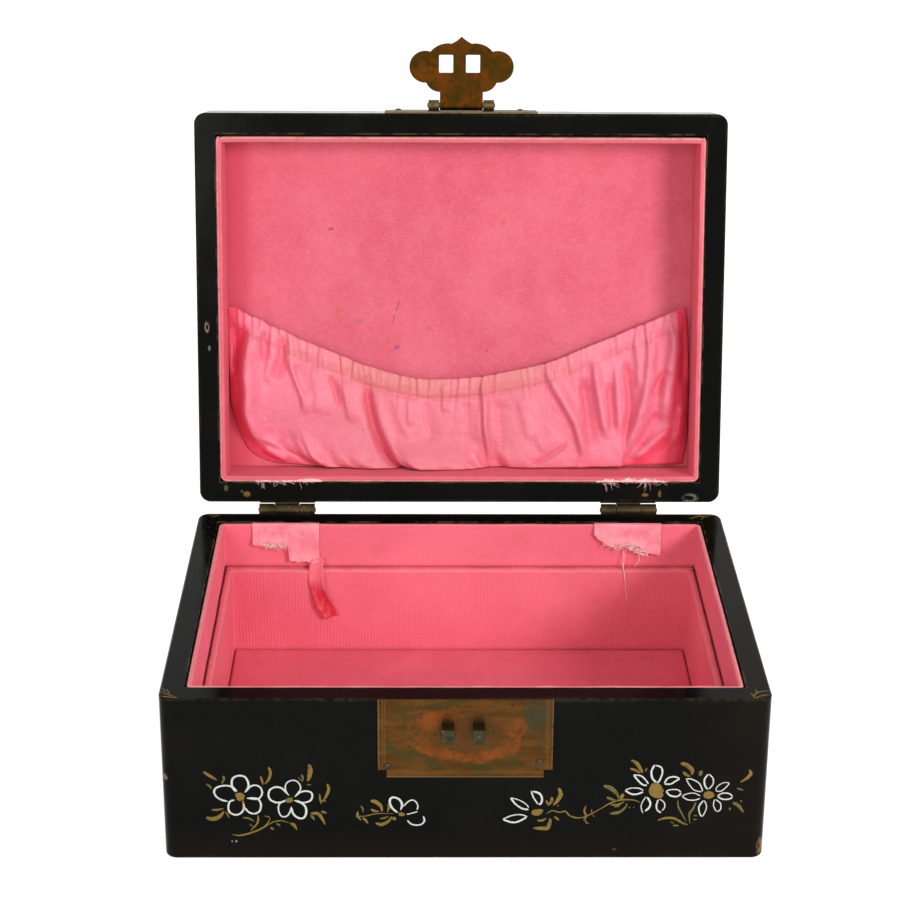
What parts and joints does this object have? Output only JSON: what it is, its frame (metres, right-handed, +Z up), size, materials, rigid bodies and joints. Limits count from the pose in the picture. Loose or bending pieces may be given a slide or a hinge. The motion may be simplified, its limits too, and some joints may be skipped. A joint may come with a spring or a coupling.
{
  "type": "jewelry box",
  "caption": "Lacquered wooden jewelry box with a hinged lid, lined well with a tray ledge, gathered cloth pocket in the lid, and a cloud-shaped brass hasp over staple loops.",
  "frame": {"origin": "centre of the base's underside, on the surface it stands on", "axes": "+Z up, +Y from the lock side to the hinged side, +X to the right seen from the lock side"},
  "size_m": [0.24, 0.2584, 0.2841],
  "materials": {
    "lacquer": "gloss lacquer, worn",
    "lining_cloth": "satin on card",
    "satin": "satin",
    "torn_cloth": "frayed",
    "elastic": "woven tape",
    "dark_brass": "tarnished",
    "red_brass": "tarnished with patina"
  },
  "bodies": {
    "base": {"base_front_board": "lacquer", "base_rear_board": "lacquer", "base_left_board": "lacquer", "base_right_board": "lacquer", "base_bottom_board": "lacquer", "ledge_liner_front": "lining_cloth", "ledge_liner_rear": "lining_cloth", "ledge_liner_left": "lining_cloth", "ledge_liner_right": "lining_cloth", "upper_liner_front": "lining_cloth", "upper_liner_rear": "lining_cloth", "upper_liner_left": "lining_cloth", "upper_liner_right": "lining_cloth", "floor_liner": "lining_cloth", "cloth_tab_left": "torn_cloth", "cloth_tab_right": "torn_cloth", "torn_ribbon": "torn_cloth", "lock_plate": "red_brass", "lock_plate_nails": "dark_brass", "hasp_staple_left": "dark_brass", "hasp_staple_right": "dark_brass", "base_hinge_leaf_left": "dark_brass", "base_hinge_leaf_right": "dark_brass", "hinge_pin_left": "dark_brass", "hinge_pin_right": "dark_brass", "base_hinge_nails": "dark_brass"},
    "lid": {"lid_front_board": "lacquer", "lid_rear_board": "lacquer", "lid_left_board": "lacquer", "lid_right_board": "lacquer", "lid_top_panel": "lacquer", "lid_liner_front": "lining_cloth", "lid_liner_rear": "lining_cloth", "lid_liner_left": "lining_cloth", "lid_liner_right": "lining_cloth", "lid_panel_liner": "lining_cloth", "lid_stub_left": "torn_cloth", "lid_stub_right": "torn_cloth", "lid_pocket": "satin", "pocket_elastic": "elastic", "lid_hinge_leaf_left": "dark_brass", "lid_hinge_leaf_right": "dark_brass", "lid_hinge_nails": "dark_brass", "hasp_plate": "dark_brass", "hasp_plate_nails": "dark_brass", "hasp_pin": "dark_brass"},
    "hasp": {"hasp": "dark_brass"}
  },
  "joints": [
    {"name": "lid_hinge", "type": "hinge", "parent": "base", "child": "lid", "pos_m": [0, 0.0926, 0.0727], "axis": [1, 0, 0], "range_deg": [0, 102]},
    {"name": "hasp_hinge", "type": "hinge", "parent": "lid", "child": "hasp", "pos_m": [0, 0.13637, 0.25263], "axis": [1, 0, 0], "range_deg": [-110, 78]}
  ]
}
